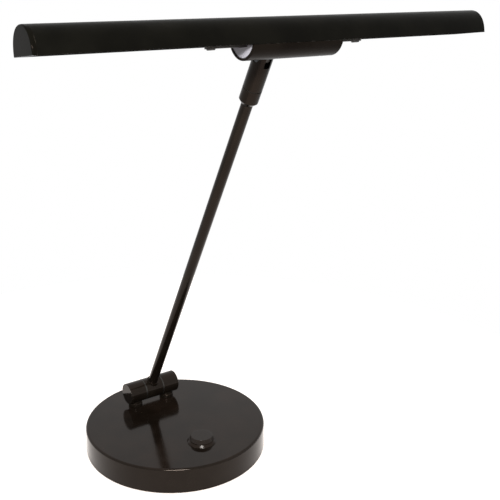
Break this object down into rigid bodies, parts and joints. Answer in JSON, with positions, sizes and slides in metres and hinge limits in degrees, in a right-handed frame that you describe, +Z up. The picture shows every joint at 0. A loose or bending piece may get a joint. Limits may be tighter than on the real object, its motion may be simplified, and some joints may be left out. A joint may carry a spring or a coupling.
{
  "type": "piano lamp",
  "caption": "Piano lamp with a round weighted base, a dimmer knob, a hinged slim arm and a long half-round LED shade on a fork that swivels and tilts.",
  "frame": {"origin": "middle of the base's underside, on the surface that the lamp stands on", "axes": "+Z up, +X along the hinge pin and the shade, -Y to the side that the arm leans to"},
  "size_m": [0.4064, 0.2794, 0.4418],
  "materials": {
    "black_enamel": "semi-gloss",
    "shade_enamel": "black semi-gloss coat",
    "dark_steel": "satin",
    "cast_iron": "rough",
    "plate_steel": "zinc plated",
    "washer_metal": "satin",
    "foot_rubber": "matte",
    "knob_black": "semi-gloss",
    "part_plastic": "matte",
    "pale_plastic": "satin",
    "circuit_board": "lacquered",
    "heat_sink": "mill",
    "led_yellow": "clear over phosphor",
    "opal": "satin opal",
    "lead_cover": "satin"
  },
  "bodies": {
    "base": {"base_shell": "black_enamel", "base_weight": "cast_iron", "bottom_plate": "plate_steel", "foot_pad": "foot_rubber", "bottom_screws": "dark_steel", "dimmer_body": "part_plastic", "dimmer_nut": "plate_steel", "dimmer_board": "circuit_board", "dimmer_bezel": "knob_black", "dc_inlet": "part_plastic", "inlet_nut": "plate_steel", "hinge_bracket_left": "black_enamel", "hinge_bracket_right": "black_enamel", "bracket_nuts": "plate_steel", "bracket_washers": "plate_steel", "hinge_pin": "plate_steel", "hinge_nut": "plate_steel", "hinge_spring_washers": "plate_steel", "friction_washers": "washer_metal", "hinge_cap_left": "black_enamel", "hinge_cap_right": "black_enamel", "supply_lead": "lead_cover", "base_lead": "lead_cover"},
    "dimmer": {"dimmer_shaft": "plate_steel", "dimmer_knob": "knob_black"},
    "arm": {"hinge_knuckle": "black_enamel", "arm_tube": "black_enamel", "arm_collar": "black_enamel", "swivel_washer": "washer_metal", "arm_lead": "lead_cover"},
    "fork": {"swivel_fork": "black_enamel", "swivel_stud": "plate_steel", "swivel_clip": "plate_steel", "swivel_spring_washer": "plate_steel", "pivot_bolt": "dark_steel", "pivot_nut": "dark_steel", "pivot_washers": "washer_metal", "fork_lead": "lead_cover"},
    "head": {"head_tongue": "black_enamel", "tongue_screws": "dark_steel", "mounting_bar": "dark_steel", "bar_screws": "dark_steel", "bar_spacers": "plate_steel", "driver_housing": "black_enamel", "housing_end_left": "pale_plastic", "housing_end_right": "pale_plastic", "housing_screws": "dark_steel", "led_driver": "part_plastic", "shade_shell": "shade_enamel", "shade_cap_left": "shade_enamel", "shade_cap_right": "shade_enamel", "led_carrier": "heat_sink", "led_board": "circuit_board", "leds": "led_yellow", "diffuser": "opal", "head_lead": "lead_cover", "led_lead": "lead_cover"}
  },
  "joints": [
    {"name": "arm_tilt", "type": "hinge", "parent": "base", "child": "arm", "pos_m": [0, 0.0516, 0.0416], "axis": [1, 0, 0], "range_deg": [-45, 45]},
    {"name": "head_swivel", "type": "hinge", "parent": "arm", "child": "fork", "pos_m": [0, -0.12677, 0.38279], "axis": [0, -0.4633, 0.8862], "range_deg": [-90, 90]},
    {"name": "head_tilt", "type": "hinge", "parent": "fork", "child": "head", "pos_m": [0, -0.14113, 0.41026], "axis": [1, 0, 0], "range_deg": [-60, 60]},
    {"name": "dimmer_turn", "type": "hinge", "parent": "base", "child": "dimmer", "pos_m": [0, -0.05, 0.027], "axis": [0, 0, 1], "range_deg": [-135, 135]}
  ]
}
